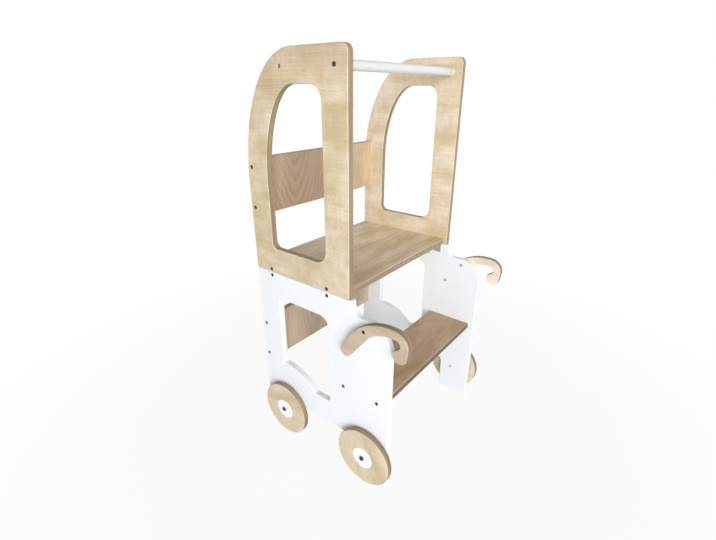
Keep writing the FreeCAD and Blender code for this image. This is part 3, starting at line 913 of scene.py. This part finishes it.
class TOWER_OT_small_screws(TowerOperator, bpy.types.Operator):
    """Models the cross-recess screws of the hinges, the slide bolt and the strike"""

    bl_idname = "tower.small_screws"
    bl_label = "Small screws"

    def execute(self, context):
        metal = context.scene.tower_metal
        self.material = coated("Zinc screw plate", metal.zinc_colour, ZINC)
        low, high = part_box("hinge_screws_upper")
        head = high.z - low.z
        self.screw = cross_screw(metal, head, high.y - low.y)
        for level in ("upper", "lower"):
            node = f"hinge_screws_{level}"
            low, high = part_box(node)
            places = []
            for side in SIDES:
                first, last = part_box(f"hinge_leaf_{level}_{side}")
                middle = (first.x + last.x) / 2
                for x in (first.x + metal.leaf_inset, middle, last.x - metal.leaf_inset):
                    places.append((x, high.y, (low.z + high.z) / 2))
            self.drive(context, node, f"{level}_frame", places, (0.0, 1.0, 0.0))
        low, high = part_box("bolt_body_screws")
        across = (low.x + head / 2, high.x - head / 2)
        deep = (low.y + head / 2, high.y - head / 2)
        places = [(x, y, low.z) for x in across for y in deep]
        self.drive(context, "bolt_body_screws", "upper_frame", places, (0.0, 0.0, -1.0))
        low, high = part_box("strike_screws")
        deep = (low.y + head / 2, high.y - head / 2)
        places = [(low.x, y, (low.z + high.z) / 2) for y in deep]
        self.drive(context, "strike_screws", "lower_frame", places, (-1.0, 0.0, 0.0))
        return {"FINISHED"}

    def drive(self, context, node, body, places, facing):
        """One piece with a screw at each place, every cross at an angle of its own."""
        upright = Vector((0.0, 0.0, 1.0))
        tilt = upright.rotation_difference(Vector(facing)).to_matrix().to_4x4()
        shape = bmesh.new()
        for count, place in enumerate(places):
            first = len(shape.verts)
            shape.from_mesh(self.screw)
            shape.verts.ensure_lookup_table()
            turn = Matrix.Rotation(count * SCREW_TURN, 4, "Z")
            stand = Matrix.Translation(place) @ tilt @ turn
            bmesh.ops.transform(shape, matrix=stand, verts=shape.verts[first:])
        mesh = bpy.data.meshes.new(f"{node}_crossed")
        shape.to_mesh(mesh)
        shape.free()
        mesh.materials.append(self.material)
        piece = bpy.data.objects.new(mesh.name, mesh)
        context.scene.collection.objects.link(piece)
        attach(piece, body)
        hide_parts(node)


def white_to_camera(start):
    """1 for rays that show the background: from the camera, a gloss or a clear surface."""
    camera = start.node("ShaderNodeLightPath", output="Is Camera Ray")
    gloss, clear = camera.other("Is Glossy Ray"), camera.other("Is Transmission Ray")
    return camera.math("MAXIMUM", camera, camera.math("MAXIMUM", gloss, clear))


class TOWER_OT_studio(TowerOperator, bpy.types.Operator):
    """Lays the floor, lights the tower and sets up the camera"""

    bl_idname = "tower.studio"
    bl_label = "Studio"

    def execute(self, context):
        studio = context.scene.tower_studio
        context.scene.view_settings.view_transform = "Standard"
        self.lay_floor(context, studio)
        self.light(context, studio)
        self.aim_camera(context, studio)
        return {"FINISHED"}

    def lay_floor(self, context, studio):
        """A pale floor that shows white, but for a faint shadow round the tower."""
        shape = bmesh.new()
        bmesh.ops.create_grid(shape, x_segments=1, y_segments=1, size=studio.floor_size / 2)
        bmesh.ops.translate(shape, verts=shape.verts, vec=(0.0, 0.0, -FLOOR_DROP))
        mesh = bpy.data.meshes.new("floor")
        shape.to_mesh(mesh)
        shape.free()
        floor = bpy.data.objects.new("floor", mesh)
        context.scene.collection.objects.link(floor)
        material, start = new_material("Floor")
        place = start.place()
        tint = place.noise(FLOOR_MOTTLE).mix(*shades(studio.floor_colour, FLOOR_SHADES))
        ground = start.node("ShaderNodeBsdfDiffuse", None, {"Color": tint})
        white = start.node("ShaderNodeEmission", None, {"Strength": 1.0})
        reach = start.node("ShaderNodeVectorMath", {"operation": "LENGTH"}, {0: place}, "Value")
        bare = reach.between(*SHADOW_REACH) * FLOOR_SHADOW + (1 - FLOOR_SHADOW)
        share = white_to_camera(start) * bare
        close(start, start.node("ShaderNodeMixShader", None, {0: share, 1: ground, 2: white}))
        mesh.materials.append(material)

    def light(self, context, studio):
        """An even sky that shows white to the camera, and four soft lamps."""
        world = bpy.data.worlds.new("Studio")
        context.scene.world = world
        world.use_nodes = True
        world.node_tree.nodes.clear()
        start = Wire(world.node_tree)
        sky, white = (
            start.node("ShaderNodeBackground", None, {"Color": WHITE, "Strength": strength})
            for strength in (studio.sky_level, 1.0)
        )
        mixed = {0: white_to_camera(start), 1: sky, 2: white}
        shown = start.node("ShaderNodeMixShader", None, mixed)
        start.node("ShaderNodeOutputWorld", None, {"Surface": shown})
        for name in ("key", "side", "rear", "right"):
            data = bpy.data.lights.new(f"{name} lamp", "AREA")
            data.energy = getattr(studio, f"{name}_power")
            data.size = studio.lamp_size
            lamp = bpy.data.objects.new(f"{name} lamp", data)
            lamp.location = getattr(studio, f"{name}_place")
            aim = LAMP_AIM - lamp.location
            lamp.rotation_euler = aim.to_track_quat("-Z", "Y").to_euler()
            context.scene.collection.objects.link(lamp)

    def aim_camera(self, context, studio):
        """A camera that stands, turns and sees as the photograph's did."""
        heading, tilt, roll = studio.camera_turn
        right = Vector((math.cos(heading), math.sin(heading), 0.0))
        level_back = Vector((math.sin(heading), -math.cos(heading), 0.0)) * math.cos(tilt)
        back = level_back + Vector((0.0, 0.0, math.sin(tilt)))
        up = back.cross(right)
        rolled = right * math.cos(roll) + up * math.sin(roll)
        turned = Matrix((rolled, back.cross(rolled), back)).transposed()
        data = bpy.data.cameras.new("Camera")
        data.sensor_fit = "HORIZONTAL"
        data.sensor_width = FILM_WIDTH
        data.lens = studio.focal_pixels / PHOTO_WIDTH * FILM_WIDTH
        camera = bpy.data.objects.new("Camera", data)
        camera.matrix_world = Matrix.Translation(studio.camera_place) @ turned.to_4x4()
        context.scene.collection.objects.link(camera)
        context.scene.camera = camera


OPERATORS = (
    TOWER_OT_upper_sides,
    TOWER_OT_boards,
    TOWER_OT_rails,
    TOWER_OT_front_bar,
    TOWER_OT_lower_sides,
    TOWER_OT_handles,
    TOWER_OT_wheels,
    TOWER_OT_fixings,
    TOWER_OT_hinges,
    TOWER_OT_slide_bolt,
    TOWER_OT_small_screws,
    TOWER_OT_studio,
)
SETTINGS = {
    "tower_wood": TowerWood,
    "tower_paint": TowerPaint,
    "tower_metal": TowerMetal,
    "tower_studio": TowerStudio,
}


class TOWER_PT_finishes(bpy.types.Panel):
    """Lists the tower's settings and the operators that finish its pieces"""

    bl_idname = "TOWER_PT_finishes"
    bl_label = "Kitchen tower"
    bl_space_type = "VIEW_3D"
    bl_region_type = "UI"
    bl_category = "Tower"

    def draw(self, context):
        for name, settings in SETTINGS.items():
            column = self.layout.column(align=True)
            for entry in settings.__annotations__:
                column.prop(getattr(context.scene, name), entry)
        for operator in OPERATORS:
            self.layout.operator(operator.bl_idname)


def register():
    for name, settings in SETTINGS.items():
        bpy.utils.register_class(settings)
        setattr(bpy.types.Scene, name, bpy.props.PointerProperty(type=settings))
    for operator in OPERATORS:
        bpy.utils.register_class(operator)
    bpy.utils.register_class(TOWER_PT_finishes)


def unregister():
    bpy.utils.unregister_class(TOWER_PT_finishes)
    for operator in reversed(OPERATORS):
        bpy.utils.unregister_class(operator)
    for name, settings in reversed(SETTINGS.items()):
        delattr(bpy.types.Scene, name)
        bpy.utils.unregister_class(settings)


def main():
    register()
    bpy.ops.tower.upper_sides()
    bpy.ops.tower.boards()
    bpy.ops.tower.rails()
    bpy.ops.tower.front_bar()
    bpy.ops.tower.lower_sides()
    bpy.ops.tower.handles()
    bpy.ops.tower.wheels()
    bpy.ops.tower.fixings()
    bpy.ops.tower.hinges()
    bpy.ops.tower.slide_bolt()
    bpy.ops.tower.small_screws()
    bpy.ops.tower.studio()


if __name__ == "__main__":
    main()
